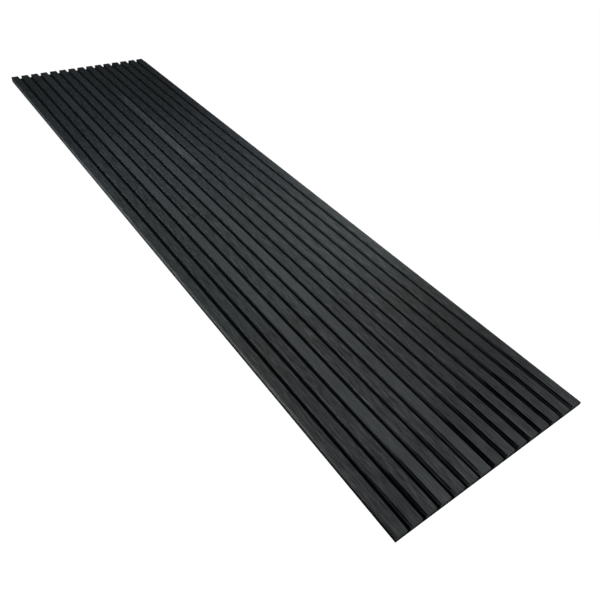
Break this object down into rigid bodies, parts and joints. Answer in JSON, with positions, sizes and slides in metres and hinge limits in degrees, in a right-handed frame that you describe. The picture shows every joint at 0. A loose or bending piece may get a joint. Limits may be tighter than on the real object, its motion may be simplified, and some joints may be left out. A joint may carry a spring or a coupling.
{
  "type": "acoustic slat wall panel",
  "caption": "Long rectangular wall panel of parallel square-edged dark wood slats, evenly spaced on a flat black felt backing that absorbs sound.",
  "frame": {"origin": "middle of the felt's flat back, which is the face that goes against the wall", "axes": "+X across the slats, +Y along the slats, +Z out of the wall through the slats' faces"},
  "size_m": [0.6, 2.4, 0.02],
  "materials": {
    "felt": "matte pressed polyester felt",
    "slat_face": "matte black stained wood grain face on wood fibre board",
    "staple_wire": "bright galvanised wire"
  },
  "bodies": {
    "root": {"felt_backing": "felt", "slat_01": "slat_face", "slat_02": "slat_face", "slat_03": "slat_face", "slat_04": "slat_face", "slat_05": "slat_face", "slat_06": "slat_face", "slat_07": "slat_face", "slat_08": "slat_face", "slat_09": "slat_face", "slat_10": "slat_face", "slat_11": "slat_face", "slat_12": "slat_face", "slat_13": "slat_face", "slat_14": "slat_face", "slat_15": "slat_face", "staples": "staple_wire"}
  },
  "joints": []
}
